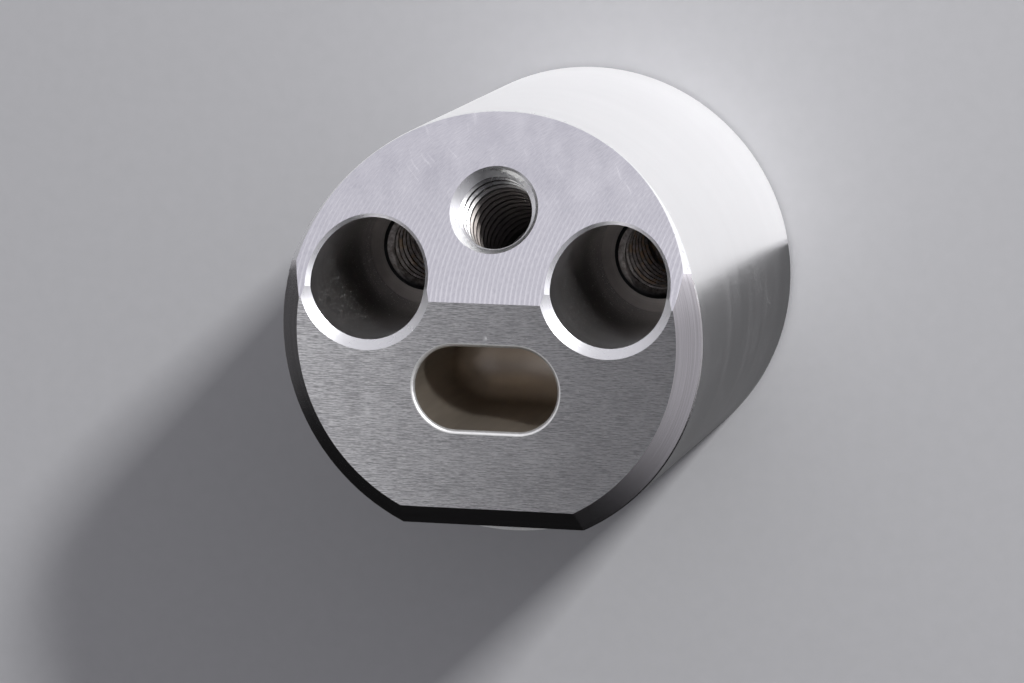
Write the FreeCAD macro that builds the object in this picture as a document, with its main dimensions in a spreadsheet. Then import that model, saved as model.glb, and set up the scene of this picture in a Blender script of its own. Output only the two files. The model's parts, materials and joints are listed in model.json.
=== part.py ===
import FreeCAD, Part
import math
import os

import Sketcher

# A short turned aluminium bar, machined at one end. It stands on its plain back face:
# z = 0 is the back, +Z runs along the bar's axis to the machined end, +Y points to the
# side of the sloping face and -Y to the flat. Lengths are in millimetres, angles in
# degrees. The tree below follows the order of machining: bar, flat, outline chamfer,
# stepped bores, slot, sloping face with its edge breaks, tapped hole.

SIZES = {
    # turned bar
    "bar_diameter": 40.0,
    "bar_length": 40.0,
    "back_edge_break": 0.5,
    # short flat under the machined end, and the chamfer round the end and the flat
    "flat_depth": 2.0,
    "flat_length": 9.2,
    "outline_chamfer": 2.0,
    "chamfer_edge_break": 0.1,
    # two stepped bores, left and right of the axis, each behind a wall of the bar
    "bore_outer_wall": 2.1,
    "bore_up_offset": 4.8,
    "bore_diameter": 11.0,
    "bore_depth": 20.0,
    "bore_mouth_chamfer": 0.85,
    "bore_tapping_depth": 11.0,
    # tapping drill and countersink, the same at all three tapped holes
    "tapping_diameter": 6.8,
    "countersink_diameter": 8.4,
    "drill_point_angle": 118.0,
    # slot with round ends; its floor is round but for a narrow flat land
    "slot_length": 13.6,
    "slot_width": 7.8,
    "slot_down_offset": 4.8,
    "slot_depth": 16.0,
    "slot_floor_land": 0.2,
    "slot_edge_break": 0.35,
    # sloping face, which starts at a straight ridge across the end
    "ridge_height": 3.2,
    "face_slope": 24.5,
    "bore_rim_break": 0.4,
    "slope_edge_break_top": 0.15,
    "slope_edge_break_side": 0.95,
    # tapped hole, square to the sloping face
    "tapped_hole_up": 8.9,
    "tapped_hole_depth": 18.0,
}

NODE = "machined_body"
REACH = 5.0  # how far a cutting outline passes beyond the metal
NEAR = 1e-4  # how close a point must be to lie on a plane or a circle
COUNTERSINK_ANGLE = 90.0


# ---------------------------------------------------------------- sizes

class Size:
    """A dimension, known both as its present number and as a formula on the sheet."""

    def __init__(self, number, formula):
        self.number = number
        self.formula = formula

    def __add__(self, other):
        other = as_size(other)
        return Size(self.number + other.number, "(%s + %s)" % (self.formula, other.formula))

    def __sub__(self, other):
        other = as_size(other)
        return Size(self.number - other.number, "(%s - %s)" % (self.formula, other.formula))

    def __mul__(self, other):
        other = as_size(other)
        return Size(self.number * other.number, "(%s * %s)" % (self.formula, other.formula))

    def __truediv__(self, other):
        other = as_size(other)
        return Size(self.number / other.number, "(%s / %s)" % (self.formula, other.formula))

    def __neg__(self):
        return Size(-self.number, "(-1 * %s)" % self.formula)


def as_size(value):
    return value if isinstance(value, Size) else Size(float(value), repr(float(value)))


def named(name):
    """The size that the sheet keeps under this name."""
    return Size(SIZES[name], "Sizes." + name)


def of_angle(function, angle):
    """sin, cos or tan of an angle in degrees."""
    number = getattr(math, function)(math.radians(angle.number))
    return Size(number, "%s(%s * 1 deg)" % (function, angle.formula))


def root(value):
    return Size(math.sqrt(value.number), "sqrt(%s)" % value.formula)


def fill_sheet():
    """Keeps every size in a cell of its own, named by its alias."""
    sheet = doc.addObject("Spreadsheet::Sheet", "Sizes")
    for row, (name, value) in enumerate(SIZES.items(), start=1):
        sheet.set("A%d" % row, name)
        sheet.set("B%d" % row, str(value))
        sheet.setAlias("B%d" % row, name)
    doc.recompute()


def bind(item, path, value):
    item.setExpression(path, as_size(value).formula)


doc = FreeCAD.newDocument("machined_aluminium_part")
fill_sheet()
body = doc.addObject("PartDesign::Body", "Body")
body.Label = NODE

bar_radius = named("bar_diameter") / 2
bar_length = named("bar_length")
chamfer = named("outline_chamfer")
bore_radius = named("bore_diameter") / 2
tapping_radius = named("tapping_diameter") / 2
countersink_radius = named("countersink_diameter") / 2
bore_up = named("bore_up_offset")
from_axis = bar_radius - named("bore_outer_wall") - bore_radius
bore_side = root(from_axis * from_axis - bore_up * bore_up)
slope = named("face_slope")
ridge = named("ridge_height")
# distance along the slope from the ridge to the bar's top edge
slope_reach = (bar_radius - ridge) / of_angle("cos", slope)


# ---------------------------------------------------------------- sketches

def origin_plane(role):
    return next(item for item in body.Origin.OriginFeatures if item.Role == role)


def new_sketch(name, plane, shift=(0, 0, 0), turn=None):
    """A sketch on an origin plane, shifted along that plane's own x, y and z, and turned
    about one of them when turn is a pair (axis, angle)."""
    sketch = body.newObject("Sketcher::SketchObject", name)
    sketch.AttachmentSupport = [(origin_plane(plane), "")]
    sketch.MapMode = "FlatFace"
    if turn:
        axis, angle = turn
        rotation = FreeCAD.Rotation(axis, angle.number)
        sketch.AttachmentOffset = FreeCAD.Placement(FreeCAD.Vector(), rotation)
        bind(sketch, "AttachmentOffset.Rotation.Angle", angle)
    for letter, distance in zip("xyz", shift):
        bind(sketch, "AttachmentOffset.Base." + letter, distance)
    return sketch


def dimension(sketch, kind, *places, value):
    """Adds one dimension and ties it to the sheet."""
    value = as_size(value)
    index = sketch.addConstraint(Sketcher.Constraint(kind, *places, value.number))
    bind(sketch, "Constraints[%d]" % index, value)


def hold(sketch, element, end, x, y):
    """Ties a point of an element to its distances from the sketch's origin."""
    for kind, axis, value in (("DistanceX", -2, as_size(x)), ("DistanceY", -1, as_size(y))):
        if value.number == 0:
            sketch.addConstraint(Sketcher.Constraint("PointOnObject", element, end, axis))
        elif value.number > 0:
            dimension(sketch, kind, -1, 1, element, end, value=value)
        else:
            dimension(sketch, kind, element, end, -1, 1, value=-value)


def draw_outline(sketch, corners):
    """A closed outline of straight lines through corners (x, y)."""
    spots = [FreeCAD.Vector(as_size(x).number, as_size(y).number, 0) for x, y in corners]
    count = len(corners)
    for index in range(count):
        line = Part.LineSegment(spots[index], spots[(index + 1) % count])
        sketch.addGeometry(line, False)
    for index, (x, y) in enumerate(corners):
        following = (index + 1) % count
        sketch.addConstraint(Sketcher.Constraint("Coincident", index, 2, following, 1))
        hold(sketch, index, 1, x, y)
    return sketch


def draw_circle(sketch, x, y, diameter):
    centre = FreeCAD.Vector(as_size(x).number, as_size(y).number, 0)
    up = FreeCAD.Vector(0, 0, 1)
    circle = sketch.addGeometry(Part.Circle(centre, up, diameter.number / 2), False)
    hold(sketch, circle, 3, x, y)
    dimension(sketch, "Diameter", circle, value=diameter)
    return sketch


def draw_slot(sketch, y, length, width):
    """An outline of two half circles joined by two lines, centred on the y axis."""
    half_run = (length - width) / 2
    radius = width / 2
    up = FreeCAD.Vector(0, 0, 1)
    for side in (1, -1):
        centre = FreeCAD.Vector(side * half_run.number, y.number, 0)
        first = math.pi / 2 * -side
        circle = Part.Circle(centre, up, radius.number)
        sketch.addGeometry(Part.ArcOfCircle(circle, first, first + math.pi), False)
    for side in (1, -1):
        height = y.number + side * radius.number
        right = FreeCAD.Vector(half_run.number, height, 0)
        left = FreeCAD.Vector(-half_run.number, height, 0)
        sketch.addGeometry(Part.LineSegment(right, left), False)
    for arc, end, line, line_end in ((0, 2, 2, 1), (1, 1, 2, 2), (0, 1, 3, 1), (1, 2, 3, 2)):
        sketch.addConstraint(Sketcher.Constraint("Tangent", arc, end, line, line_end))
    hold(sketch, 0, 3, half_run, y)
    hold(sketch, 1, 3, -half_run, y)
    dimension(sketch, "Radius", 0, value=radius)
    return sketch


# ---------------------------------------------------------------- features

def new_feature(kind, name, **settings):
    feature = body.newObject("PartDesign::" + kind, name)
    for key, value in settings.items():
        setattr(feature, key, value)
    return feature


def finish(feature, volume_before, fills=False):
    """Recomputes, and stops if a cut took nothing away or a rounded corner filled nothing."""
    doc.recompute()
    change = 0 if feature.Shape.isNull() else feature.Shape.Volume - volume_before
    if (change if fills else -change) < NEAR:
        raise RuntimeError(feature.Name + " leaves the metal as it was")
    return feature


def metal():
    return body.Shape.Volume


def edges_where(test):
    """Names of the body's edges all of whose points pass a test."""
    names = []
    for index, edge in enumerate(body.Shape.Edges, start=1):
        if not edge.Degenerated and all(test(point) for point in edge.discretize(5)):
            names.append("Edge%d" % index)
    if not names:
        raise RuntimeError("no edge found")
    return names


def break_edges(name, width, test):
    """A chamfer on the edges that pass a test."""
    before = metal()
    chamfered = new_feature("Chamfer", name, Base=(body.Tip, edges_where(test)))
    bind(chamfered, "Size", width)
    finish(chamfered, before)


def round_corners(name, radius, test):
    """A fillet in the inner corners that pass a test."""
    before = metal()
    rounded = new_feature("Fillet", name, Base=(body.Tip, edges_where(test)))
    bind(rounded, "Radius", radius)
    finish(rounded, before, fills=True)


def turn_bar():
    edge = named("back_edge_break")
    soft = named("chamfer_edge_break")
    profile = draw_outline(new_sketch("BarProfile", "XZ_Plane"), [
        (0, 0),
        (bar_radius - edge, 0),
        (bar_radius, edge),
        (bar_radius, bar_length - chamfer - soft),
        (bar_radius - soft, bar_length - chamfer + soft),
        (bar_radius - chamfer, bar_length),
        (0, bar_length),
    ])
    new_feature("Revolution", "Bar", Profile=profile, ReferenceAxis=(profile, ["V_Axis"]))
    doc.recompute()


def mill_flat():
    """The flat is short: behind it the bar is full round again. Its front edge carries the
    same chamfer as the bar, and the two meet at mitred corners."""
    before = metal()
    height = bar_radius - named("flat_depth")
    step = bar_length - named("flat_length")
    outline = draw_outline(new_sketch("FlatOutline", "YZ_Plane"), [
        (-height, step),
        (-height, bar_length - chamfer),
        (chamfer + REACH - height, bar_length + REACH),
        (-bar_radius - REACH, bar_length + REACH),
        (-bar_radius - REACH, step),
    ])
    finish(new_feature("Pocket", "Flat", Profile=outline, Type="ThroughAll", Midplane=True), before)


def bore_steps():
    """Profile from the mouth inwards: mouth chamfer, bore, seat, countersink, tapping hole
    and drill point. x is the radius and y the height above the bar's back face."""
    mouth = named("bore_mouth_chamfer")
    seat = bar_length - named("bore_depth")
    tapping_end = seat - named("bore_tapping_depth")
    point_angle = named("drill_point_angle") / 2
    return [
        (0, bar_length + REACH),
        (bore_radius + mouth, bar_length + REACH),
        (bore_radius + mouth, bar_length),
        (bore_radius, bar_length - mouth),
        (bore_radius, seat),
        (countersink_radius, seat),
        (tapping_radius, seat - (countersink_radius - tapping_radius)),
        (tapping_radius, tapping_end),
        (0, tapping_end - tapping_radius / of_angle("tan", point_angle)),
    ]


def cut_bores():
    before = metal()
    # the XZ plane's own z axis points to -Y
    shift = (bore_side, 0, -bore_up)
    profile = draw_outline(new_sketch("BoreProfile", "XZ_Plane", shift), bore_steps())
    bore = new_feature("Groove", "RightBore", Profile=profile, ReferenceAxis=(profile, ["V_Axis"]))
    finish(bore, before)
    before = metal()
    mirrored = new_feature("Mirrored", "LeftBore", Originals=[bore],
                           MirrorPlane=(origin_plane("YZ_Plane"), [""]))
    body.Tip = mirrored
    finish(mirrored, before)


def cut_slot():
    before = metal()
    height = -named("slot_down_offset")
    sketch = new_sketch("SlotOutline", "XY_Plane", (0, 0, bar_length))
    draw_slot(sketch, height, named("slot_length"), named("slot_width"))
    slot = new_feature("Pocket", "Slot", Profile=sketch)
    bind(slot, "Length", named("slot_depth"))
    finish(slot, before)

    half_length = (named("slot_length") / 2).number
    half_width = (named("slot_width") / 2).number

    def beside_slot(point, level):
        inside = abs(point.x) < half_length + NEAR and abs(point.y - height.number) < half_width + NEAR
        return inside and abs(point.z - level) < NEAR

    floor = (bar_length - named("slot_depth")).number
    end = bar_length.number
    floor_radius = (named("slot_width") - named("slot_floor_land")) / 2
    round_corners("SlotFloor", floor_radius, lambda point: beside_slot(point, floor))
    break_edges("SlotEdgeBreak", named("slot_edge_break"), lambda point: beside_slot(point, end))


def slope_sketch(name):
    """A sketch in the sloping face: x along the ridge, y up the slope from the ridge."""
    across = FreeCAD.Vector(1, 0, 0)
    return new_sketch(name, "XY_Plane", (0, ridge, bar_length), (across, -slope))


def mill_slope():
    before = metal()
    side = bar_radius + REACH
    outline = draw_outline(slope_sketch("SlopeOutline"), [
        (-side, 0),
        (side, 0),
        (side, slope_reach + REACH),
        (-side, slope_reach + REACH),
    ])
    cut = new_feature("Pocket", "SlopingFace", Profile=outline, Type="ThroughAll", Reversed=True)
    finish(cut, before)


def break_bore_rims():
    """The rims that the bores make in the sloping face."""
    rise = math.tan(math.radians(slope.number))

    def on_rim(point):
        on_slope = abs(bar_length.number - point.z - (point.y - ridge.number) * rise) < NEAR
        radius = math.hypot(abs(point.x) - bore_side.number, point.y - bore_up.number)
        return on_slope and abs(radius - bore_radius.number) < NEAR

    break_edges("BoreRimBreak", named("bore_rim_break"), on_rim)


def break_slope_edge():
    """The outer edge of the sloping face is broken by a cone square to that face. The cone's
    circle in the face leaves a narrow break at the top and a wider one at the ridge."""
    before = metal()
    top = slope_reach - named("slope_edge_break_top")
    side = root(bar_radius * bar_radius - ridge * ridge) - named("slope_edge_break_side")
    radius = (side * side + top * top) / (top * 2)
    centre = top - radius
    shift = (ridge + centre * of_angle("cos", slope), bar_length - centre * of_angle("sin", slope), 0)
    sketch = new_sketch("SlopeEdgeProfile", "YZ_Plane", shift, (FreeCAD.Vector(0, 0, 1), -slope))
    above = chamfer / 2
    draw_outline(sketch, [
        (radius - above, above),
        (radius + REACH, -REACH),
        (radius + REACH, above),
    ])
    cut = new_feature("Groove", "SlopeEdgeBreak", Profile=sketch, ReferenceAxis=(sketch, ["V_Axis"]))
    finish(cut, before)


def drill_tapped_hole():
    before = metal()
    sketch = slope_sketch("TappedHoleCentre")
    draw_circle(sketch, 0, named("tapped_hole_up"), named("tapping_diameter"))
    doc.recompute()
    hole = new_feature("Hole", "TappedHole", Profile=sketch, DepthType="Dimension",
                       DrillPoint="Angled", HoleCutType="Countersink",
                       HoleCutCountersinkAngle=COUNTERSINK_ANGLE)
    bind(hole, "Diameter", named("tapping_diameter"))
    bind(hole, "Depth", named("tapped_hole_depth"))
    bind(hole, "DrillPointAngle", named("drill_point_angle"))
    bind(hole, "HoleCutDiameter", named("countersink_diameter"))
    finish(hole, before)


# ---------------------------------------------------------------- model

def check_model():
    doc.recompute()
    failed = [item.Name for item in doc.Objects if set(item.State) & {"Invalid", "Error"}]
    if failed:
        raise RuntimeError("failed: " + ", ".join(failed))
    shape = body.Shape
    if shape.isNull() or not shape.isValid() or len(shape.Solids) != 1:
        raise RuntimeError(NODE + " is not one valid solid")


def write_part():
    os.makedirs("parts", exist_ok=True)
    body.Shape.exportStep("parts/%s.step" % body.Label)
    box = body.Shape.BoundBox
    print(NODE, "volume mm3", round(body.Shape.Volume, 1),
          "box mm", [round(length, 3) for length in (box.XLength, box.YLength, box.ZLength)])


turn_bar()
mill_flat()
cut_bores()
cut_slot()
mill_slope()
break_bore_rims()
break_slope_edge()
drill_tapped_hole()
check_model()
write_part()
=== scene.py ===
# %% [markdown]
# # A machined aluminium fitting
# The real object is one short piece of round bar. A lathe turned its outside, a drill and a
# boring bar made its round holes, and a milling cutter made its flat faces and its slot.
# Nothing is painted, so its whole look comes from bare metal and the marks of those tools.
# The shape could be modelled again here, but the frame brings in the exact solid at its real
# size, in metres, standing on its back face. So this script adds only what the solid lacks:
# the threads, a finish for every face, the light and the camera.

# %% Load the solid
import json
import math
import bmesh
import bpy
from mathutils import Matrix, Vector

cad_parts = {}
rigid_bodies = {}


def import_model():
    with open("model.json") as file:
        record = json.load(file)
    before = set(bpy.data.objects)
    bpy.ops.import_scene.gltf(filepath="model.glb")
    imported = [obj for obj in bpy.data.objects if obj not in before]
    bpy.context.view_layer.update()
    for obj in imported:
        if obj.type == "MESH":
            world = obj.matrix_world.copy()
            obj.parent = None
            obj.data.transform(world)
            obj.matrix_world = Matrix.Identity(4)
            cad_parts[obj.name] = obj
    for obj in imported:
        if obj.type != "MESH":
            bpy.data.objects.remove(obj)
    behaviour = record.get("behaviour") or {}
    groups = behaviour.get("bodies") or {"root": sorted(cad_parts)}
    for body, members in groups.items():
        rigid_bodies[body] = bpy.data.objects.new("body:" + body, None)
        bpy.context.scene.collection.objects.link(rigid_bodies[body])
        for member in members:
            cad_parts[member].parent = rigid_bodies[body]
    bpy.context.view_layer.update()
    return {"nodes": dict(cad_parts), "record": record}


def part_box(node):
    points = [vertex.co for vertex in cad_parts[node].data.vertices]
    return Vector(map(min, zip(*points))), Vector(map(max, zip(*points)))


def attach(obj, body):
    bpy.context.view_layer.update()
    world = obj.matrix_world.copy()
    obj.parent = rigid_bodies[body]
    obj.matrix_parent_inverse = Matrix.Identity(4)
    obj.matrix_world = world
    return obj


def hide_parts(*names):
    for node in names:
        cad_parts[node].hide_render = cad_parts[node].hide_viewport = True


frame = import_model()
NODE = "machined_body"
MM = 0.001
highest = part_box(NODE)[1]
bar_radius = highest.x
bar_length = highest.z
print("bar radius and length in mm:", round(bar_radius / MM, 2), round(bar_length / MM, 2))

# %% [markdown]
# ## Camera
# The machined end is what matters, so the camera looks almost straight along the bar's axis,
# from a little to the right and a little towards the sloping side. A camera could be aimed
# with a constraint or with three angles. Here it is built from three directions, because they
# also fix its slight roll: `back` points from the object to the lens, and `right` and `up` lie
# in the picture. A long lens keeps the circles nearly true.

# %% Camera
LENS = 167.0       # mm
DISTANCE = 0.4337  # from the lens to the point that it aims at
TURN_RIGHT = math.radians(15.64)
TURN_UP = math.radians(10.55)
ROLL = math.radians(-0.654)
AIM_RIGHT = 0.00253  # how far that point lies beside the axis
AIM_UP = -0.00029


def look_at_the_end():
    back = Vector((math.sin(TURN_RIGHT) * math.cos(TURN_UP),
                   math.sin(TURN_UP),
                   math.cos(TURN_RIGHT) * math.cos(TURN_UP)))
    level = Vector((0, 1, 0)).cross(back).normalized()
    upright = back.cross(level)
    right = level * math.cos(ROLL) + upright * math.sin(ROLL)
    up = upright * math.cos(ROLL) - level * math.sin(ROLL)
    aim = Vector((0, 0, bar_length)) + right * AIM_RIGHT + up * AIM_UP
    camera = bpy.data.objects.new("camera", bpy.data.cameras.new("camera"))
    camera.data.lens = LENS
    turned = Matrix((right, up, back)).transposed().to_4x4()
    camera.matrix_world = Matrix.Translation(aim + back * DISTANCE) @ turned
    bpy.context.scene.collection.objects.link(camera)
    bpy.context.scene.camera = camera
    return camera


camera = look_at_the_end()
print("camera at", [round(number, 4) for number in camera.matrix_world.translation])

# %% [markdown]
# ## Sums on a surface
# A tool mark is a small sum: how far a point lies along or across the cut. In Blender such a
# sum is a chain of Math nodes. The chain could be wired by hand, but thirty nodes in a row are
# hard to read. So `Wire` stands for the output of a node and knows + - * / and **, and the
# chain is written as plain Python.

# %% Wire
class Wire:
    """A node's output, with arithmetic."""

    def __init__(self, tree, socket):
        self.tree = tree
        self.socket = socket

    def maths(self, operation, *values):
        return self.tree.node("ShaderNodeMath", {"operation": operation}, values)

    def __add__(self, other):
        return self.maths("ADD", self, other)

    def __radd__(self, other):
        return self.maths("ADD", other, self)

    def __sub__(self, other):
        return self.maths("SUBTRACT", self, other)

    def __rsub__(self, other):
        return self.maths("SUBTRACT", other, self)

    def __mul__(self, other):
        return self.maths("MULTIPLY", self, other)

    def __rmul__(self, other):
        return self.maths("MULTIPLY", other, self)

    def __truediv__(self, other):
        return self.maths("DIVIDE", self, other)

    def __rtruediv__(self, other):
        return self.maths("DIVIDE", other, self)

    def __pow__(self, other):
        return self.maths("POWER", self, other)

    def root(self):
        return self.maths("SQRT", self)

    def sine(self):
        return self.maths("SINE", self)

    def rise(self, start, end):
        """0 before start, 1 after end, and smooth between them."""
        settings = {"interpolation_type": "SMOOTHSTEP"}
        return self.tree.node("ShaderNodeMapRange", settings, (self, start, end, 0.0, 1.0))


print("a Wire knows", [name for name in dir(Wire) if name[:2] != "__"], "and arithmetic")

# %% [markdown]
# ## The nodes of one material
# `Tree` holds the nodes of one material or of the world, and adds any node through one method.
# It hands out the place of the shaded point in millimetres, a handy unit for tool marks. The
# place is read on the object and not on a UV map, because the marks follow the machine's axes
# and run on across an edge.

# %% Tree
MIX_SHARE, MIX_FIRST, MIX_SECOND = 0, 6, 7  # the Mix node's own sockets for a colour
MIX_COLOUR = 2
DUST_GRAIN = 0.11  # mm
DUST_FROM, DUST_FULL = 0.76, 0.80  # only the peaks of the noise are dust


class Tree:
    """The nodes of one material or of the world."""

    def __init__(self, node_tree):
        self.nodes = node_tree.nodes
        self.links = node_tree.links
        self.nodes.clear()

    def node(self, kind, settings=None, sockets=(), output=0):
        """Adds a node: its settings first, then the values or links of its sockets."""
        made = self.nodes.new(kind)
        for name, value in (settings or {}).items():
            setattr(made, name, value)
        pairs = sockets.items() if isinstance(sockets, dict) else enumerate(sockets)
        for name, value in pairs:
            if isinstance(value, Wire):
                self.links.new(value.socket, made.inputs[name])
            else:
                made.inputs[name].default_value = value
        return Wire(self, made.outputs[output]) if made.outputs else made

    def split(self, vector):
        """The three parts of a vector."""
        parts = self.node("ShaderNodeSeparateXYZ", sockets=(vector,))
        outputs = parts.socket.node.outputs
        return [Wire(self, outputs[index]) for index in range(3)]

    def place(self):
        """x, y and z of the shaded point on the object, in millimetres."""
        point = self.node("ShaderNodeTexCoord", output="Object")
        return [part * (1 / MM) for part in self.split(point)]

    def noise(self, x, y=0.0, z=0.0, detail=2.0, roughness=0.5):
        """Soft noise around 0.5, one blob for each unit of x, y and z."""
        vector = self.node("ShaderNodeCombineXYZ", sockets=(x, y, z))
        sockets = {"Vector": vector, "Scale": 1.0, "Detail": detail, "Roughness": roughness}
        return self.node("ShaderNodeTexNoise", sockets=sockets)

    def specks(self, x, y, z):
        """1 in a few grains of dust, and 0 elsewhere."""
        grains = self.noise(x / DUST_GRAIN, y / DUST_GRAIN, z / DUST_GRAIN, detail=0.0)
        return grains.rise(DUST_FROM, DUST_FULL)

    def mix(self, share, first, second):
        """A colour between two colours."""
        sockets = {MIX_SHARE: share, MIX_FIRST: first, MIX_SECOND: second}
        return self.node("ShaderNodeMix", {"data_type": "RGBA"}, sockets, output=MIX_COLOUR)

    def bump(self, height, distance):
        """A normal from a height of 0 to 1 that stands for a distance in millimetres."""
        sockets = {"Strength": 1.0, "Distance": distance * MM, "Height": height}
        return self.node("ShaderNodeBump", sockets=sockets)

    def surface(self, sockets):
        """The material's one shader, on its output."""
        shader = self.node("ShaderNodeBsdfPrincipled", sockets=sockets)
        self.node("ShaderNodeOutputMaterial", sockets={"Surface": shader})


def fresh_material(name):
    material = bpy.data.materials.new(name)
    material.use_nodes = True
    return material


print("a Tree can", [name for name in dir(Tree) if name[:2] != "__"])

# %% [markdown]
# ## Table
# The part stands on a plain pale table, a sheet of laminate. Its colour is nearly neutral with
# a very faint mottle, so that the shadow's edge has something to fall on. A square plane would
# do as well, but one operator makes a disc so large that its rim is never seen.

# %% Table
TABLE_RADIUS = 2.0
TABLE_SIDES = 64
MOTTLE = 1.5  # mm


def new_object(name, mesh):
    made = bpy.data.objects.new(name, mesh)
    bpy.context.scene.collection.objects.link(made)
    return made


def lay_table():
    disc = bmesh.new()
    bmesh.ops.create_circle(disc, cap_ends=True, radius=TABLE_RADIUS, segments=TABLE_SIDES)
    mesh = bpy.data.meshes.new("table")
    disc.to_mesh(mesh)
    disc.free()
    material = fresh_material("pale_table")
    tree = Tree(material.node_tree)
    x, y = tree.place()[:2]
    mottle = tree.noise(x / MOTTLE, y / MOTTLE, detail=3.0)
    tree.surface({
        "Base Color": tree.mix(mottle, (0.40, 0.40, 0.412, 1), (0.43, 0.43, 0.443, 1)),
        "Roughness": 0.55,
        "Specular IOR Level": 0.3,
    })
    mesh.materials.append(material)
    new_object("table", mesh)


lay_table()
print("table of radius", TABLE_RADIUS, "m")

# %% [markdown]
# ## Room
# Bare metal shows what surrounds it, so the room matters as much as the lamps. A picture of a
# real room could be wrapped round the scene. Here a few soft ramps over the direction do that
# work and stay easy to change: a dim grey, brighter over the sloping side and on the right,
# and a window's glow on the left. The Standard view keeps colours as they are written.

# %% Room
ROOM_LIGHT = 0.04
SLOPING_SIDE_LIGHT = 0.58
RIGHT_LIGHT = 0.33
CORNER_LIGHT = 0.42
WINDOW_LIGHT = 0.55
ROOM_GREEN = 0.99  # the tint, against a red of 1
ROOM_BLUE = 1.07


def light_room():
    world = bpy.data.worlds.new("room")
    bpy.context.scene.world = world
    world.use_nodes = True
    tree = Tree(world.node_tree)
    direction = tree.node("ShaderNodeTexCoord", output="Generated")
    x, y, z = tree.split(direction)
    sloping_side = y.rise(-0.1, 0.7)
    right = x.rise(0.3, 0.95)
    window = (0.0 - x).rise(0.7, 0.95) * z.rise(0.0, 0.25)
    light = (ROOM_LIGHT + sloping_side * SLOPING_SIDE_LIGHT + right * RIGHT_LIGHT
             + right * sloping_side * CORNER_LIGHT + window * WINDOW_LIGHT)
    tinted = (light, light * ROOM_GREEN, light * ROOM_BLUE)
    colour = tree.node("ShaderNodeCombineXYZ", sockets=tinted)
    background = tree.node("ShaderNodeBackground", sockets={"Color": colour, "Strength": 1.0})
    tree.node("ShaderNodeOutputWorld", sockets={"Surface": background})


light_room()
bpy.context.scene.view_settings.view_transform = "Standard"
print("room ready, view", bpy.context.scene.view_settings.view_transform)

# %% [markdown]
# ## Lamps
# The key softbox stands high on the upper right and draws the edge of light inside the slot.
# The side softbox hangs close over the left, near enough for the end face to fade from left to
# right, which a distant lamp can't do. The bounce lamp lies just over the table, shines
# upwards and brightens the turned side and the broken edge above it. All three are flat area
# lamps, because a point lamp would leave hard sparks in the metal.

# %% Lamps
KEY_DIRECTION = Vector((0.57, 0.57, 0.59)).normalized()
KEY_DISTANCE = 0.7
KEY_SIZE = 0.08
KEY_POWER = 5.0
SIDE_LEVEL = 0.23  # heights over the table
BOUNCE_LEVEL = 0.0003
SHINES_DOWN, SHINES_UP = 1, -1


def hang_lamp(name, place, away, width, height, power):
    """A flat lamp at a place. Its back looks along away, so it shines the other way."""
    lamp = bpy.data.lights.new(name, "AREA")
    lamp.shape = "RECTANGLE"
    lamp.size = width
    lamp.size_y = height
    lamp.energy = power
    box = new_object(name, lamp)
    turn = away.to_track_quat("Z", "Y").to_matrix().to_4x4()
    box.matrix_world = Matrix.Translation(place) @ turn
    box.visible_camera = False
    print(name, "measures", round(width, 3), "by", round(height, 3), "m, power", round(power, 4))


def rectangle(low_corner, high_corner, level):
    """The middle, the width and the depth of a level rectangle between two corners."""
    low = Vector((*low_corner, level))
    high = Vector((*high_corner, level))
    size = high - low
    return (low + high) / 2, size.x, size.y


def hang_panel(name, low_corner, high_corner, level, side, radiance):
    """A level lamp between two corners."""
    middle, width, depth = rectangle(low_corner, high_corner, level)
    power = radiance * math.pi * width * depth
    hang_lamp(name, middle, Vector((0, 0, side)), width, depth, power)


key_place = KEY_DIRECTION * KEY_DISTANCE
hang_lamp("key_softbox", key_place, KEY_DIRECTION, KEY_SIZE, KEY_SIZE, KEY_POWER)
hang_panel("side_softbox", (-0.24, -0.13), (-0.071, 0.06), SIDE_LEVEL, SHINES_DOWN, 0.74)
hang_panel("bounce_lamp", (-0.06, 0.0035), (0.13, 0.16), BOUNCE_LEVEL, SHINES_UP, 0.35)

# %% [markdown]
# ## Dark cards
# Bright metal is lit with black cards beside it, because a chamfer only reads as a chamfer
# when it mirrors something darker than the face next to it. Real boards would show in the
# picture and cast shadows. So these give off their own dim light and only reflections see
# them. They lie just over the table: to the left, towards the flat and at the lower right.
# From below they are clear, or the table's own faint shine would show their outlines.

# %% Dark cards
LEFT_LEVEL = 0.001
NEAR_LEVEL = 0.002     # over the left card, where the two overlap
RIGHT_LEVEL = 0.00025  # it reaches under the part, so it lies almost on the table
CARD_BLUE = 1.05       # the tint, against a red of 1


def card_material(name, brightness):
    material = fresh_material(name)
    tree = Tree(material.node_tree)
    colour = (brightness, brightness, brightness * CARD_BLUE, 1)
    shade = tree.node("ShaderNodeEmission", sockets={"Color": colour, "Strength": 1.0})
    from_below = tree.node("ShaderNodeNewGeometry", output="Backfacing")
    clear = tree.node("ShaderNodeBsdfTransparent")
    one_sided = tree.node("ShaderNodeMixShader", sockets=(from_below, shade, clear))
    tree.node("ShaderNodeOutputMaterial", sockets={"Surface": one_sided})
    return material


def lay_card(name, low_corner, high_corner, level, brightness):
    """A level card between two corners that only reflections see, and only from above."""
    middle, width, depth = rectangle(low_corner, high_corner, level)
    card = bmesh.new()
    bmesh.ops.create_grid(card, x_segments=1, y_segments=1, size=0.5)
    bmesh.ops.scale(card, vec=(width, depth, 1), verts=card.verts)
    bmesh.ops.translate(card, vec=middle, verts=card.verts)
    mesh = bpy.data.meshes.new(name)
    card.to_mesh(mesh)
    card.free()
    mesh.materials.append(card_material(name, brightness))
    made = new_object(name, mesh)
    made.visible_camera = False
    made.visible_diffuse = False
    made.visible_shadow = False
    print(name, "measures", round(width, 3), "by", round(depth, 3), "m")


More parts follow.
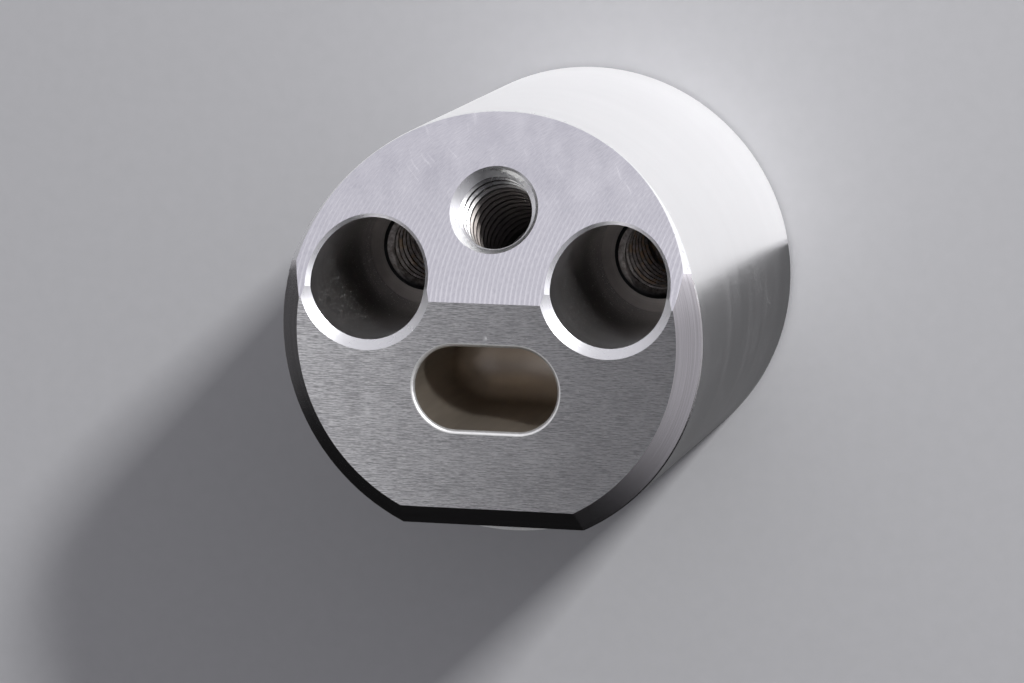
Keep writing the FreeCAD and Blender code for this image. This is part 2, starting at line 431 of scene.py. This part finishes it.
lay_card("left_card", (-0.35, -0.30), (-0.045, 0.012), LEFT_LEVEL, 0.07)
lay_card("near_card", (-1.0, -1.6), (0.4, -0.045), NEAR_LEVEL, 0.006)
lay_card("right_card", (0.0, -0.06), (0.055, 0.003), RIGHT_LEVEL, 0.08)

# %% [markdown]
# ## Turned side
# The lathe tool leaves a fine thread of feed marks round the bar, far too fine to count, and
# slow bands where the feed or the coolant changed. Cut into the mesh, marks this fine would
# need millions of faces. So noise shades the colour instead. It changes quickly with the
# height along the bar and slowly round it, and a low bump turns it into a satin streak. A few
# grains of dust catch the light.

# %% Turned side
FEED_MARK, FEED_RUN = 0.16, 9  # mm across a mark, and along it before it changes
BAND, BAND_RUN = 2.2, 30
DUST_PATCH = 5  # mm
WHITE = (1.0, 1.0, 1.0, 1)
FINISHES = {}


def add_finish(build):
    """A bare metal material, named after the function that adds its marks."""
    material = fresh_material(build.__name__)
    tree = Tree(material.node_tree)
    tree.surface({"Metallic": 1.0, **build(tree)})
    FINISHES[build.__name__] = material
    print(build.__name__, "is made of", len(material.node_tree.nodes), "nodes")


def between(tree, amount, dark, light):
    """A colour between two colours, by an amount from 0 to 1."""
    return tree.mix(amount, (*dark, 1), (*light, 1))


def turned_side(tree):
    x, y, z = tree.place()
    feed = tree.noise(z / FEED_MARK, x / FEED_RUN, y / FEED_RUN, detail=3.0, roughness=0.6)
    bands = tree.noise(z / BAND, x / BAND_RUN, y / BAND_RUN, detail=1.0)
    specks = tree.specks(x, y, z)
    patches = tree.noise(x / DUST_PATCH, y / DUST_PATCH, z / DUST_PATCH, detail=0.0)
    dust = specks * patches.rise(0.45, 0.60)
    shine = feed * 0.5 + bands * 0.5
    turned = between(tree, shine, (0.86, 0.855, 0.855), (0.96, 0.955, 0.955))
    return {
        "Base Color": tree.mix(dust, turned, WHITE),
        "Roughness": 0.24 + bands * 0.08 + feed * 0.06 + dust * 0.5,
        "Normal": tree.bump(feed, 0.005),
    }


add_finish(turned_side)

# %% [markdown]
# ## Back face
# The back was faced off on the lathe, which leaves rings about the axis, and a small stub
# stands where the bar was parted from its stock. A ring texture centred on the axis could
# draw them, but too evenly. Noise read along the distance from the axis gives uneven rings.

# %% Back face
FACING_RING, FACING_BAND = 0.14, 2.5  # mm
STUB_CORE, STUB_RIM = 0.5, 0.8        # mm from the axis


def from_middle(x, y):
    """A wire for the distance from the bar's axis."""
    return (x * x + y * y).root()


def back_face(tree):
    x, y = tree.place()[:2]
    radius = from_middle(x, y)
    rings = tree.noise(radius / FACING_RING, detail=2.0)
    bands = tree.noise(radius / FACING_BAND, detail=1.0)
    stub = 1 - radius.rise(STUB_CORE, STUB_RIM)
    shine = rings * 0.6 + bands * 0.4
    return {
        "Base Color": between(tree, shine, (0.74, 0.74, 0.75), (0.84, 0.84, 0.85)),
        "Roughness": 0.27 + bands * 0.12,
        "Normal": tree.bump(rings + stub * 4, 0.006),
    }


add_finish(back_face)

# %% [markdown]
# ## Brushed end
# The end face was drawn along a fine abrasive in one direction, so its scratches run straight
# across it. An anisotropic shader would smear the shine in that direction, but show no single
# scratch. So noise stretched along x makes them, a couple of millimetres long and under a
# tenth of a millimetre wide, and they change the brightness as well as the direction of the
# shine. A centre drill left a faint dent on the bar's axis, just above the slot. The whole
# numbers added to x and y move a noise to a place of its own, so that no two are alike.

# %% Brushed end
LONG_SCRATCH, LONG_WIDTH = 1.7, 0.09  # mm
SHORT_SCRATCH, SHORT_WIDTH = 0.5, 0.06
CLOUD_LENGTH, CLOUD_HEIGHT = 6, 3
DENT_CORE, DENT_RIM = 0.05, 0.32      # mm from the axis


def brushed_end(tree):
    x, y = tree.place()[:2]
    long_scratch = tree.noise(x / LONG_SCRATCH, y / LONG_WIDTH, detail=2.5, roughness=0.62)
    short_scratch = tree.noise(x / SHORT_SCRATCH + 40, y / SHORT_WIDTH + 9, detail=1.5)
    cloud = tree.noise(x / CLOUD_LENGTH + 3, y / CLOUD_HEIGHT, detail=1.0)
    scratches = long_scratch * 0.6 + short_scratch * 0.4
    shine = (scratches - 0.5) * 6.0 + 0.5 + (cloud - 0.5) * 0.5
    dent = 1 - from_middle(x, y).rise(DENT_CORE, DENT_RIM)
    return {
        "Base Color": between(tree, shine + dent * 0.7, (0.46, 0.455, 0.48), (0.98, 0.97, 1.0)),
        "Roughness": 0.32 - (scratches - 0.5) * 0.3,
        "Normal": tree.bump(scratches - dent * 1.5, 0.006),
    }


add_finish(brushed_end)

# %% [markdown]
# ## Sloping face
# A fly cutter crossed this face sideways. Each pass of its single tooth left one arc, and the
# arcs are a feed apart. They stand upright at the ridge and lean over further up, because they
# are parts of circles whose centre is level with the ridge. Straight bars would miss that
# lean, so the phase of a sine wave is how far a point lies from its arc. Near the top the arcs
# are worn faint and crossed by scuffs, which are noise stretched at a slant.

# %% Sloping face
LEANS = 0.1           # an axis with more than this along y is square to the sloping face
RIDGE_HEIGHT = 3.2    # mm above the axis, where the face begins
CUTTER_RADIUS = 20.0  # mm
FEED = 0.47           # mm between two arcs
ARC_SHARPNESS = 4     # a higher power draws narrower lines
GRAIN_WIDTH, GRAIN_RUN = 0.08, 0.5  # mm across and along
SCUFF_WIDTH, SCUFF_RUN = 0.5, 4.5
SMEAR_WIDTH, SMEAR_RUN = 2.4, 3.4
WORN_FROM, WORN_FULL = 4.0, 13.0    # mm up the face
SCUFFED_FROM = 5.0
FRESH_BELOW = 2.2

tapped_holes = [mount for mount in frame["record"]["mounts"] if mount["kind"] == "threaded_hole"]
slope_hole = next(mount for mount in tapped_holes if mount["axis"][1] > LEANS)
slope_normal = Vector(slope_hole["axis"])


def sloping_face(tree):
    x, y = tree.place()[:2]
    up = (y - RIDGE_HEIGHT) / slope_normal.z
    bow = CUTTER_RADIUS - (CUTTER_RADIUS ** 2 - up * up).root()
    across = x - bow
    wobble = tree.noise(across / 0.9, up / 5, detail=1.0)
    wave = ((across / FEED + wobble * 0.3) * math.tau).sine() * 0.5 + 0.5
    worn = up.rise(WORN_FROM, WORN_FULL)
    depth = tree.noise(across / FEED + 7, up / 2.5, detail=1.0)
    arcs = wave ** ARC_SHARPNESS * (1.2 - worn) * (0.35 + depth)
    grain = tree.noise(across / GRAIN_WIDTH, up / GRAIN_RUN, detail=3.0, roughness=0.7)
    fresh = 1 - up.rise(0.0, FRESH_BELOW)
    bent = tree.noise(x / 4, up / 4, detail=1.0) * 3
    aslant = (x + up * 0.7 + bent) / SCUFF_WIDTH
    along = (x * 0.5 - up) / SCUFF_RUN
    scuff = tree.noise(aslant, along, detail=3.0, roughness=0.65)
    scuffs = scuff.rise(0.58, 0.78) * up.rise(SCUFFED_FROM, WORN_FULL)
    smear = (tree.noise(x / SMEAR_WIDTH + 5, up / SMEAR_RUN, detail=3.0) - 0.5) * worn
    lines = arcs * (0.5 + fresh * 0.5)
    shine = 0.38 + lines + (grain - 0.5) * 1.7 + scuffs * 0.45 + smear * 1.1
    return {
        "Base Color": between(tree, shine, (0.69, 0.68, 0.73), (0.98, 0.965, 1.0)),
        "Roughness": 0.30 + scuffs * 0.12 + grain * 0.08,
        "Normal": tree.bump(arcs + grain * 0.3, 0.006),
    }


add_finish(sloping_face)
lean = math.degrees(math.atan2(slope_normal.y, slope_normal.z))
print("the sloping face leans", round(lean, 1), "degrees")

# %% [markdown]
# ## Outline chamfer
# The wide chamfer round the end was turned, so it carries fine rings about the axis. It is the
# smoothest metal here and mirrors one narrow part of the room. A plain mirror would look like
# plastic film, so the rings shade its colour strongly and a low bump breaks up its shine.

# %% Outline chamfer
CHAMFER_RING, CHAMFER_RING_RUN = 0.045, 12  # mm across and along
CHAMFER_BAND, CHAMFER_BAND_RUN = 0.20, 20
CHAMFER_CONTRAST = 2.6


def outline_chamfer(tree):
    x, y, z = tree.place()
    rings = tree.noise(z / CHAMFER_RING, x / CHAMFER_RING_RUN, y / CHAMFER_RING_RUN, detail=2.0)
    bands = tree.noise(z / CHAMFER_BAND + 5, x / CHAMFER_BAND_RUN, y / CHAMFER_BAND_RUN, detail=1.0)
    shine = rings * 0.7 + bands * 0.3
    strong = (shine - 0.5) * CHAMFER_CONTRAST + 0.5
    return {
        "Base Color": between(tree, strong, (0.62, 0.60, 0.60), (0.88, 0.85, 0.86)),
        "Roughness": 0.15 + bands * 0.08,
        "Normal": tree.bump(rings, 0.004),
    }


add_finish(outline_chamfer)

# %% [markdown]
# ## Edge breaks
# A keen countersink or a deburring edge took the burr off the other edges. The narrow rim that
# it leaves is fresh metal, about the brightest on the part. A bevel could make it in Blender,
# but the solid already has that shape, so it needs only pale metal with a little chatter.

# %% Edge breaks
CHATTER, CHATTER_RUN = 0.15, 0.8  # mm


def edge_break(tree):
    x, y, z = tree.place()
    chatter = tree.noise(z / CHATTER, x / CHATTER_RUN, y / CHATTER_RUN, detail=2.0)
    return {
        "Base Color": between(tree, chatter, (0.93, 0.93, 0.93), (0.99, 0.99, 0.99)),
        "Roughness": 0.24 + chatter * 0.1,
        "Normal": tree.bump(chatter, 0.004),
    }


add_finish(edge_break)

# %% [markdown]
# ## Milled flat
# A short flat was milled into the side. The cutter's marks run along the bar, a quarter of a
# millimetre apart. A wave texture would space them too evenly, so stretched noise draws them.

# %% Milled flat
MILL_MARK, MILL_RUN = 0.25, 3  # mm across a mark and along it


def milled_flat(tree):
    x, y, z = tree.place()
    feed = tree.noise(x / MILL_MARK, z / MILL_RUN, y / MILL_RUN, detail=2.0)
    return {
        "Base Color": between(tree, feed, (0.74, 0.74, 0.75), (0.86, 0.86, 0.87)),
        "Roughness": 0.28 + feed * 0.1,
        "Normal": tree.bump(feed, 0.005),
    }


add_finish(milled_flat)

# %% [markdown]
# ## Bore walls
# Light that enters a hole bounces many times before it comes out again, and cutting oil dries to a
# film in there. The light could be left to show that by itself, but these wide bores let the lamps
# in, so part of the darkness is painted shade in the colour: the metal is painted from bright at
# the mouth to dark near the seat. Rings and slow bands are the marks of the boring tool, and some
# dust has fallen in.

# %% Bore walls
BORE_RING, BORE_RING_RUN = 0.3, 14  # mm across and along
BORE_BAND = 2.6
SHADED_BELOW, BRIGHT_ABOVE = 24.0, 37.0  # mm over the table


def bore_wall(tree):
    x, y, z = tree.place()
    rings = tree.noise(z / BORE_RING, x / BORE_RING_RUN, y / BORE_RING_RUN, detail=2.0)
    bands = tree.noise(z / BORE_BAND + 3, detail=1.0)
    # painted shade: the dark colour deep in the bore, towards the seat
    painted_deep_shade = between(tree, rings, (0.05, 0.05, 0.053), (0.16, 0.155, 0.16))
    shine = rings * 0.5 + bands * 0.5
    bright = between(tree, shine, (0.72, 0.715, 0.72), (0.97, 0.96, 0.97))
    dust = tree.specks(x, y, z)
    wall = tree.mix(z.rise(SHADED_BELOW, BRIGHT_ABOVE), painted_deep_shade, bright)
    return {
        "Base Color": tree.mix(dust, wall, WHITE),
        "Roughness": 0.24 + bands * 0.12 + dust * 0.5,
        "Normal": tree.bump(rings, 0.008),
    }


add_finish(bore_wall)

# %% [markdown]
# ## Bore seats
# Each bore ends on a flat seat with rings about the bore's own axis. Its colour is a dark brownish
# grey, painted shade at the bottom of the bore. Two materials could have a centre each. The bores
# mirror each other across the middle of the bar, though, so the size of x, without its sign, gives
# both the same centre.

# %% Bore seats
SEAT_RING = 0.2  # mm
SEAT_FILM = 1.2
bores = [mount for mount in frame["record"]["mounts"] if mount["kind"] == "bore"]
bore_x, bore_y, bore_z = bores[0]["pos_m"]


def bore_seat(tree):
    x, y, z = tree.place()
    across = (x * x).root() - abs(bore_x) / MM
    up = y - bore_y / MM
    rings = tree.noise((across * across + up * up).root() / SEAT_RING, detail=2.0)
    film = tree.noise(x / SEAT_FILM, y / SEAT_FILM, z, detail=3.0)
    shine = film * 0.5 + rings * 0.5
    return {
        # painted shade: the seat's colour is kept dark and brownish
        "Base Color": between(tree, shine, (0.34, 0.31, 0.28), (0.66, 0.60, 0.55)),
        "Roughness": 0.32,
        "Normal": tree.bump(rings, 0.01),
    }


add_finish(bore_seat)

# %% [markdown]
# ## Thread in the sloping face
# A tap cut this thread, and its first turns are clean metal. Further in, the wall is hidden from
# the light, so its colour is painted darker there as painted shade. The fade follows the depth
# under the sloping face, measured square to it, because the height over the table would darken one
# side of each turn too soon.

# %% Thread in the sloping face
THREAD_FILM = 0.6  # mm
CLEAN_ABOVE, DARK_BELOW = 2.5, 6.0  # mm of depth
PAINTED_SHADE_METAL = (0.20, 0.18, 0.17, 1)


def thread(tree):
    x, y, z = tree.place()
    below = (RIDGE_HEIGHT - y) * slope_normal.y + (bar_length / MM - z) * slope_normal.z
    film = tree.noise(x / THREAD_FILM, y / THREAD_FILM, z / THREAD_FILM, detail=3.0)
    shade = below.rise(CLEAN_ABOVE, DARK_BELOW)
    clean = between(tree, film, (0.62, 0.615, 0.61), (0.86, 0.86, 0.86))
    return {
        # painted shade: the colour darkens with depth into the hole
        "Base Color": tree.mix(shade, clean, PAINTED_SHADE_METAL),
        "Roughness": 0.20 + film * 0.12 + shade * 0.3,
        "Normal": tree.bump(film, 0.006),
    }


add_finish(thread)

# %% [markdown]
# ## Threads under the seats
# These two threads lie at the bottom of the bores. Their colour is a dark mottle, painted shade at
# the bottom of the bores, with brown blotches lower down, and the countersink at their mouth is
# painted nearly black as painted shade. Blotches could be painted on a UV map, but a thread has no
# tidy one, so they are noise in space and their limits are heights over the table.

# %% Threads under the seats
MOTTLE_BLOTCH, BROWN_BLOTCH = 0.5, 1.1  # mm
BROWN_BELOW, CLEAR_ABOVE = 16.5, 18.5  # mm over the table
MOUTH_FROM, MOUTH_ABOVE = 19.4, 19.8
BROWN_TONE = (0.62, 0.45, 0.28, 1)
PAINTED_SHADE_MOUTH = (0.07, 0.07, 0.07, 1)


def deep_thread(tree):
    x, y, z = tree.place()
    film = tree.noise(x / MOTTLE_BLOTCH, y / MOTTLE_BLOTCH, z / MOTTLE_BLOTCH, detail=3.0, roughness=0.7)
    # painted shade: the threads at the bottom of the bores are kept dark
    shaded_mottle = between(tree, film.rise(0.3, 0.7), (0.34, 0.30, 0.27), (0.70, 0.66, 0.63))
    blotch = tree.noise(x / BROWN_BLOTCH + 4, y / BROWN_BLOTCH, z / BROWN_BLOTCH, detail=2.0)
    brown = blotch.rise(0.48, 0.66) * (1 - z.rise(BROWN_BELOW, CLEAR_ABOVE)) * 0.8
    blotched = tree.mix(brown, shaded_mottle, BROWN_TONE)
    return {
        # painted shade: the countersink at the mouth is painted nearly black
        "Base Color": tree.mix(z.rise(MOUTH_FROM, MOUTH_ABOVE), blotched, PAINTED_SHADE_MOUTH),
        "Roughness": 0.42 + film * 0.12,
        "Normal": tree.bump(film, 0.02),
    }


add_finish(deep_thread)

# %% [markdown]
# ## Slot
# An end mill cut the slot. Its broken rim is a thin pale line, rough enough to stay pale from every
# side. Its wall is painted dark brown, as painted shade with a painted warm reflection, beside the
# bright end face, and its rounded floor is painted a lighter warm beige, a painted warm reflection.
# Two materials could meet at the floor's edge, but a soft change with height leaves no border to
# see.

# %% Slot
RIM_WEAR = 0.4  # mm
STREAK_WIDTH, STREAK_RUN = 0.5, 6
FLOOR_BELOW, SIDE_ABOVE = 24.2, 27.0  # mm over the table


def slot_rim(tree):
    x, y, z = tree.place()
    wear = tree.noise(x / RIM_WEAR, y / RIM_WEAR, z / RIM_WEAR, detail=2.0)
    return {
        "Base Color": between(tree, wear, (0.90, 0.90, 0.89), (1.0, 1.0, 0.99)),
        "Roughness": 0.50 + wear * 0.1,
        "Normal": tree.bump(wear, 0.004),
    }


def slot_wall(tree):
    x, y, z = tree.place()
    streak = tree.noise(x / STREAK_WIDTH, y / STREAK_WIDTH, z / STREAK_RUN, detail=2.0)
    # painted shade and a painted warm reflection: the dark brown of the slot's sides
    side = between(tree, streak, (0.29, 0.255, 0.21), (0.39, 0.34, 0.285))
    # painted warm reflection: the beige tint of the slot's floor
    floor = between(tree, streak, (0.93, 0.85, 0.77), (1.0, 0.92, 0.84))
    return {
        "Base Color": tree.mix(z.rise(FLOOR_BELOW, SIDE_ABOVE), floor, side),
        "Roughness": 0.40 + streak * 0.08,
        "Metallic": 0.85,
        "Normal": tree.bump(streak, 0.004),
    }


add_finish(slot_rim)
add_finish(slot_wall)
SLOT_ORDER = list(FINISHES)
print(len(SLOT_ORDER), "finishes")

# %% [markdown]
# ## Thread cutters
# The solid's tapped holes are plain, so their threads are cut into a copy of it. A bump would
# only shade a thread, and the edge of the hole would stay straight. The cutter has the shape
# that a tap takes away: a wedge that follows a helix. `bmesh.ops.spin` sweeps the wedge round
# the axis and lifts it a little at each step. It starts one pitch above the bottom of its
# hole and ends one pitch past the mouth, so that the thread runs out through the face.

# %% Thread cutters
PITCH = 1.25 * MM
MAJOR_RADIUS = 4.0 * MM
STEPS_IN_TURN = 48
ROOT_LAND = PITCH / 8     # the narrow flat at the bottom of the groove
FLANK = math.radians(30)  # how far a flank leans
INNER = 0.35 * MM         # how far the wedge reaches inside the plain hole


def give_finishes(mesh):
    """All the finishes, in the order that a face's material index counts them."""
    for name in SLOT_ORDER:
        mesh.materials.append(FINISHES[name])


def wedge(cutter, hole_radius):
    """The thread's section, open to the hole, as one face in the XZ plane."""
    inside = hole_radius - INNER
    mouth = ROOT_LAND / 2 + (MAJOR_RADIUS - inside) * math.tan(FLANK)
    corners = [(inside, -mouth), (MAJOR_RADIUS, -ROOT_LAND / 2),
               (MAJOR_RADIUS, ROOT_LAND / 2), (inside, mouth)]
    return cutter.faces.new([cutter.verts.new((x, 0, z)) for x, z in corners])


def thread_cutter(mount):
    """A helical wedge along a tapped hole, with the finish of its thread."""
    axis = Vector(mount["axis"])
    length = mount["dims"]["length_mm"] * MM
    turns = length / PITCH
    steps = round(turns * STEPS_IN_TURN)
    cutter = bmesh.new()
    section = wedge(cutter, mount["dims"]["r_mm"] * MM)
    bmesh.ops.spin(cutter, geom=[section, *section.verts, *section.edges], cent=(0, 0, 0),
                   axis=(0, 0, 1), dvec=(0, 0, length / steps), angle=turns * math.tau,
                   steps=steps, use_duplicate=False)
    bmesh.ops.recalc_face_normals(cutter, faces=cutter.faces)
    finish = "thread" if mount is slope_hole else "deep_thread"
    for face in cutter.faces:
        face.material_index = SLOT_ORDER.index(finish)
    foot = Vector(mount["pos_m"]) - axis * (length / 2 - PITCH)
    turn = Vector((0, 0, 1)).rotation_difference(axis).to_matrix().to_4x4()
    bmesh.ops.transform(cutter, matrix=Matrix.Translation(foot) @ turn, verts=cutter.verts)
    mesh = bpy.data.meshes.new(mount["name"])
    cutter.to_mesh(mesh)
    open_edges = sum(not edge.is_manifold for edge in cutter.edges)
    print(mount["name"], "faces", len(cutter.faces), "open edges", open_edges)
    cutter.free()
    give_finishes(mesh)
    return new_object(mount["name"], mesh)


thread_cutters = [thread_cutter(mount) for mount in tapped_holes]

# %% [markdown]
# ## Where the faces lie
# The solid comes as one mesh, and its faces have no names. Their finishes could be painted on
# by hand, but a script has to find the faces again by itself. So a face is known by where it
# lies and which way it looks. This cell holds the places to compare it with, one measure and
# three questions about a point.

# %% Where the faces lie
BORE_RADIUS = bores[0]["dims"]["r_mm"] * MM
BORE_RIM_WIDTH = 1.3 * MM
SEAT_LEVEL = bore_z - bores[0]["dims"]["length_mm"] * MM / 2
SLOT = next(item for item in frame["record"]["physics"]["openings"] if item["name"] == "slot")
SLOT_CENTRE_Y = (SLOT["box_m"][0][1] + SLOT["box_m"][1][1]) / 2
SLOT_HALF_LENGTH = 6.8 * MM
SLOT_HALF_WIDTH = 3.9 * MM
SLOT_RIM_WIDTH = 0.4 * MM
UNDER_SLOT = 23 * MM
CHAMFER = 2.0 * MM
FLAT_DEPTH = 2.0 * MM
OUTER_BREAK = 0.15 * MM
BREAK_LEAST, BREAK_MOST = 0.2, 0.6  # how much of the outer break's normal is upright
NEAR = 0.05 * MM


def from_axis(point, mount):
    """Distance of a point from a hole's axis."""
    axis = Vector(mount["axis"])
    arm = point - Vector(mount["pos_m"])
    return (arm - axis * arm.dot(axis)).length


def in_slot(point):
    """Whether a point lies in the slot or on its rim."""
    run = max(abs(point.x) - (SLOT_HALF_LENGTH - SLOT_HALF_WIDTH), 0)
    reach = math.hypot(run, point.y - SLOT_CENTRE_Y)
    return reach < SLOT_HALF_WIDTH + SLOT_RIM_WIDTH and point.z > UNDER_SLOT


def on_chamfer(point):
    """Whether a point lies on the 45 degree chamfer round the end, or along the flat."""
    height = bar_length - point.z
    if height > CHAMFER + NEAR:
        return False
    from_side = bar_radius - math.hypot(point.x, point.y)
    from_flat = point.y + bar_radius - FLAT_DEPTH
    return min(abs(from_side + height - CHAMFER), abs(from_flat + height - CHAMFER)) < NEAR


def on_outer_break(point, normal):
    """Whether a point lies on the small break between the chamfer and the turned side."""
    outermost = math.hypot(point.x, point.y) > bar_radius - OUTER_BREAK
    below_ridge = point.y < RIDGE_HEIGHT * MM
    return outermost and below_ridge and BREAK_LEAST < normal.z < BREAK_MOST


print("seat in mm over the table:", round(SEAT_LEVEL / MM, 2))
print("slot's middle in mm under the axis:", round(-SLOT_CENTRE_Y / MM, 2))

# %% [markdown]
# ## Name each face's finish
# The questions are asked in a fixed order, from the plainest face to the most hidden, and the
# first that fits gives the finish. What is left over is one of the many edge breaks. A table
# of face numbers would be shorter, but it would break as soon as the solid changed.

# %% Name each face's finish
LOOKS_ALONG = 0.9   # the cosine between a normal and a direction that it roughly follows
SQUARE_TO = 0.999   # and for a face that is square to the direction
SIDEWAYS = 0.1      # the most upright that a normal may be on an upright wall
COUNTERSUNK = 0.5   # a countersink looks at least this much out of its hole
FACET_SAG = 0.12 * MM  # how far the middle of a facet may lie inside the true circle
SLOPE_HOLE_REACH = 4.25 * MM
SLOT_RIM_DEPTH = 0.36 * MM


def finish_in_bore(point, normal):
    """The finish of a face in or round one of the two bores."""
    if point.z < SEAT_LEVEL - NEAR:
        return "deep_thread"
    if normal.z > LOOKS_ALONG and point.z < SEAT_LEVEL + NEAR:
        return "bore_seat"
    return "bore_wall" if abs(normal.z) < SIDEWAYS else "edge_break"


def finish_of(point, normal):
    """The name of the finish of a face, from its middle and its normal."""
    from_centre = math.hypot(point.x, point.y)
    out_of_slope = normal.dot(slope_normal)
    if normal.z < -LOOKS_ALONG and point.z < NEAR:
        return "back_face"
    if from_centre > bar_radius - FACET_SAG and abs(normal.z) < SIDEWAYS:
        return "turned_side"
    if normal.z > SQUARE_TO and point.z > bar_length - NEAR:
        return "brushed_end"
    if from_axis(point, slope_hole) < SLOPE_HOLE_REACH and out_of_slope < LOOKS_ALONG:
        return "edge_break" if out_of_slope > COUNTERSUNK else "thread"
    if out_of_slope > SQUARE_TO and point.y > 0:
        return "sloping_face"
    if on_chamfer(point):
        return "outline_chamfer"
    if min(from_axis(point, bore) for bore in bores) < BORE_RADIUS + BORE_RIM_WIDTH:
        return finish_in_bore(point, normal)
    if in_slot(point):
        return "slot_wall" if point.z < bar_length - SLOT_RIM_DEPTH else "slot_rim"
    if normal.z > LOOKS_ALONG or normal.y < -LOOKS_ALONG:
        return "milled_flat"
    return "outline_chamfer" if on_outer_break(point, normal) else "edge_break"


print("a face that looks up from the middle of the end:",
      finish_of(Vector((0, 0, bar_length)), Vector((0, 0, 1))))

# %% [markdown]
# ## Sort the faces
# The solid's own mesh stays untouched, because the frame needs it. Its copy is merged first:
# the solid comes as loose triangles, and a cut into loose triangles would leave gaps.

# %% Sort the faces
SAME_PLACE = 1e-7  # m


def open_edges_of(shell):
    return sum(not edge.is_manifold for edge in shell.edges)


def sorted_copy():
    """A merged copy of the solid whose faces carry their finish."""
    copy = bmesh.new()
    copy.from_mesh(frame["nodes"][NODE].data)
    bmesh.ops.remove_doubles(copy, verts=copy.verts, dist=SAME_PLACE)
    copy.normal_update()
    counts = dict.fromkeys(SLOT_ORDER, 0)
    for face in copy.faces:
        name = finish_of(face.calc_center_median(), face.normal)
        face.material_index = SLOT_ORDER.index(name)
        counts[name] += 1
    mesh = bpy.data.meshes.new("body_copy")
    copy.to_mesh(mesh)
    print("faces by finish:", counts, "open edges", open_edges_of(copy))
    copy.free()
    give_finishes(mesh)
    return mesh


body_mesh = sorted_copy()

# %% [markdown]
# ## Cut the threads
# The cutters are taken away from the copy by Boolean modifiers, much as a tap takes metal
# away. The exact solver is slower than the fast one, and here it leaves no open edge. Each
# cut face keeps its cutter's material, which is found by its index. The result is made a
# plain mesh at once, because the cutters are no part of the object and have to go.

# %% Cut the threads
def cut_threads():
    blank = new_object("threaded_body", body_mesh)
    for cutter in thread_cutters:
        cut = blank.modifiers.new(cutter.name, "BOOLEAN")
        cut.operation = "DIFFERENCE"
        cut.solver = "EXACT"
        cut.material_mode = "INDEX"
        cut.object = cutter
    evaluated = blank.evaluated_get(bpy.context.evaluated_depsgraph_get())
    mesh = bpy.data.meshes.new_from_object(evaluated)
    blank.modifiers.clear()
    blank.data = mesh
    for cutter in thread_cutters:
        bpy.data.objects.remove(cutter)
    return blank


threaded_body = cut_threads()
print("faces after the cuts:", len(threaded_body.data.polygons))

# %% [markdown]
# ## Sharp and smooth edges
# The round faces are made of flat facets. Smooth shading blends them, but alone it would blend
# the chamfers into their neighbours too, and a machined edge is crisp. So an edge that turns
# by SHARP_ANGLE or more is marked sharp. The facets turn by up to about 12 degrees, and the
# chamfer's small break by about 18, so 15 tells them apart. Where a thread runs out, its edges
# come at every angle, so some of them are sharp and some are not.

# %% Sharp and smooth edges
SHARP_ANGLE = math.radians(15)


def soften(piece):
    """Smooth shading, with every machined edge left sharp."""
    shell = bmesh.new()
    shell.from_mesh(piece.data)
    bmesh.ops.remove_doubles(shell, verts=shell.verts, dist=SAME_PLACE)
    for face in shell.faces:
        face.smooth = True
    for edge in shell.edges:
        edge.smooth = edge.calc_face_angle(math.pi) < SHARP_ANGLE
    print("threaded body: faces", len(shell.faces), "open edges", open_edges_of(shell))
    shell.to_mesh(piece.data)
    shell.free()


soften(threaded_body)

# %% [markdown]
# ## A true shine
# Smooth shading takes each normal from the facets around it. Next to a hole or a flat that is
# a little wrong, and polished metal shows it as a dent. More facets would only make the dents
# smaller. The real surfaces are known, so their normals are written in: straight out from the
# axis on the turned side, and straight in to the axis in the bores. The slot's rim is a small
# flat chamfer in the solid. Its normals look up at its upper edge and sideways at its lower
# one, so that it shines as a rounded edge.

# %% A true shine
def true_normal(name, point, plain):
    """The direction that the real surface faces at a point, or plain where nothing is known."""
    if name == "turned_side":
        return Vector((point.x, point.y, 0)).normalized()
    if name == "bore_wall":
        nearest = min(bores, key=lambda bore: from_axis(point, bore))
        inward = Vector(nearest["pos_m"]) - point
        return Vector((inward.x, inward.y, 0)).normalized()
    if name == "slot_rim" and point.z > bar_length - NEAR:
        return Vector((0, 0, 1))
    if name == "slot_rim":
        return Vector((plain.x, plain.y, 0)).normalized()
    return plain


def round_the_shine(piece):
    """The side and the bores shine as true cylinders, and the slot's rim as a round edge."""
    mesh = piece.data
    normals = [corner.vector.copy() for corner in mesh.corner_normals]
    for face in mesh.polygons:
        name = SLOT_ORDER[face.material_index]
        for corner in face.loop_indices:
            point = mesh.vertices[mesh.loops[corner].vertex_index].co
            normals[corner] = true_normal(name, point, normals[corner])
    mesh.normals_split_custom_set(normals)
    print("normals set at", len(normals), "corners")


round_the_shine(threaded_body)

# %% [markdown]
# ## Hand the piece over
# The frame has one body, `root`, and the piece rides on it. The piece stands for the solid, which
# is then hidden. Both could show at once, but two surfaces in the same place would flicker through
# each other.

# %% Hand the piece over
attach(threaded_body, "root")
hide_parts(NODE)
print(threaded_body.name, "stands for", NODE)

# %% [markdown]
# ## Finish
